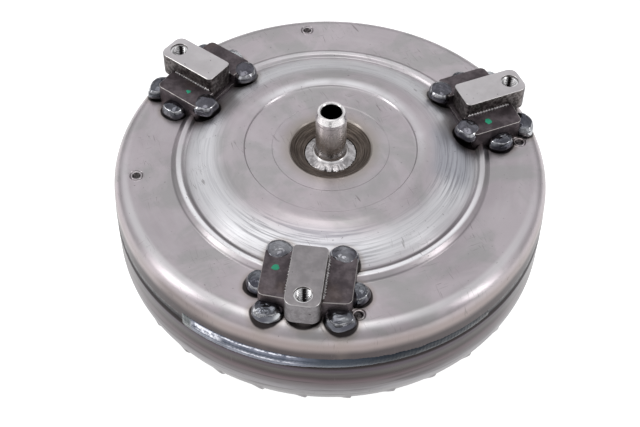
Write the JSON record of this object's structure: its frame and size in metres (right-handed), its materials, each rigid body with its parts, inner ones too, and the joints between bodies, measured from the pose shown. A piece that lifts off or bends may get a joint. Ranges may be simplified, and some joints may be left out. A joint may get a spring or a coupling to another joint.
{
  "type": "torque converter",
  "caption": "Car torque converter: a welded steel housing with hollow pilot and threaded drive lugs, holding a turbine, a freewheeling stator and a lock-up clutch.",
  "frame": {"origin": "on the spin axis, at the end face of the pump hub", "axes": "+Z along the spin axis towards the engine side with the pilot; one drive lug on -Y"},
  "size_m": [0.264, 0.264, 0.1535],
  "materials": {
    "cover_steel": "satin, brushed in rings",
    "machined_steel": "bright, turned",
    "scaled_steel": "mill scale, heat darkened",
    "weld_bead": "blue-grey, glossy",
    "heat_tint": "brown heat tint, rough",
    "shell_steel": "satin, heat tinted under the weld",
    "stamped_steel": "satin, oiled",
    "cast_aluminium": "as cast",
    "bearing_steel": "ground",
    "spring_steel": "satin",
    "friction_paper": "matte, porous",
    "seal_polymer": "matte"
  },
  "bodies": {
    "housing": {"front_cover": "cover_steel", "pilot": "machined_steel", "pilot_weld": "heat_tint", "rim_weld": "weld_bead", "impeller_shell": "shell_steel", "impeller_blade_ring": "stamped_steel", "pump_hub": "machined_steel", "pump_hub_weld": "weld_bead", "front_bearing_race": "bearing_steel", "rear_bearing_race": "bearing_steel", "drive_lug_1": "machined_steel", "drive_lug_2": "machined_steel", "drive_lug_3": "machined_steel", "lug_saddle_1": "scaled_steel", "lug_saddle_2": "scaled_steel", "lug_saddle_3": "scaled_steel"},
    "turbine": {"turbine_shell": "stamped_steel", "turbine_blade_ring": "stamped_steel", "turbine_hub": "machined_steel", "turbine_rivet_1": "stamped_steel", "turbine_rivet_2": "stamped_steel", "turbine_rivet_3": "stamped_steel", "turbine_rivet_4": "stamped_steel", "turbine_rivet_5": "stamped_steel", "turbine_rivet_6": "stamped_steel", "piston_seal": "seal_polymer", "damper_driven_ring": "stamped_steel", "middle_bearing_race": "bearing_steel"},
    "damper": {"damper_retainer": "stamped_steel", "damper_spring_1": "spring_steel", "damper_spring_2": "spring_steel", "damper_spring_3": "spring_steel", "damper_spring_4": "spring_steel", "damper_spring_5": "spring_steel", "damper_spring_6": "spring_steel"},
    "lockup_clutch": {"lockup_piston": "stamped_steel", "friction_lining": "friction_paper"},
    "stator_shaft_race": {"stator_inner_race": "bearing_steel"},
    "stator": {"stator_wheel": "cast_aluminium", "stator_outer_race": "bearing_steel", "clutch_roller_1": "bearing_steel", "clutch_roller_2": "bearing_steel", "clutch_roller_3": "bearing_steel", "clutch_roller_4": "bearing_steel", "clutch_roller_5": "bearing_steel", "clutch_roller_6": "bearing_steel", "clutch_roller_7": "bearing_steel", "clutch_roller_8": "bearing_steel", "roller_spring_ring": "spring_steel", "stator_front_washer": "cast_aluminium", "stator_rear_washer": "cast_aluminium"},
    "front_thrust_cage": {"front_bearing_cage": "bearing_steel"},
    "middle_thrust_cage": {"middle_bearing_cage": "bearing_steel"},
    "rear_thrust_cage": {"rear_bearing_cage": "bearing_steel"}
  },
  "joints": [
    {"name": "turbine_spin", "type": "hinge", "parent": "housing", "child": "turbine", "pos_m": [0, 0, 0.07], "axis": [0, 0, 1], "continuous": true},
    {"name": "damper_twist", "type": "hinge", "parent": "turbine", "child": "damper", "pos_m": [0, 0, 0.09], "axis": [0, 0, 1], "range_deg": [-8, 8], "stiffness_Nm_per_rad": 300, "deforming": ["damper_spring_1", "damper_spring_2", "damper_spring_3", "damper_spring_4", "damper_spring_5", "damper_spring_6"]},
    {"name": "lockup_apply", "type": "slide", "parent": "damper", "child": "lockup_clutch", "axis": [0, 0, 1], "range_m": [0, 0.0014]},
    {"name": "stator_race_spin", "type": "hinge", "parent": "housing", "child": "stator_shaft_race", "pos_m": [0, 0, 0.06], "axis": [0, 0, 1], "continuous": true},
    {"name": "stator_freewheel", "type": "hinge", "parent": "stator_shaft_race", "child": "stator", "pos_m": [0, 0, 0.06], "axis": [0, 0, 1], "continuous": true},
    {"name": "front_cage_spin", "type": "hinge", "parent": "housing", "child": "front_thrust_cage", "pos_m": [0, 0, 0.109], "axis": [0, 0, 1], "continuous": true},
    {"name": "middle_cage_spin", "type": "hinge", "parent": "housing", "child": "middle_thrust_cage", "pos_m": [0, 0, 0.07], "axis": [0, 0, 1], "continuous": true},
    {"name": "rear_cage_spin", "type": "hinge", "parent": "housing", "child": "rear_thrust_cage", "pos_m": [0, 0, 0.049], "axis": [0, 0, 1], "continuous": true}
  ],
  "couplings": [
    {"joint": "front_cage_spin", "follows": "turbine_spin", "ratio": 0.5},
    {"joint": "middle_cage_spin", "follows": "turbine_spin", "ratio": 0.5},
    {"joint": "rear_cage_spin", "follows": "stator_race_spin", "ratio": 0.5}
  ]
}
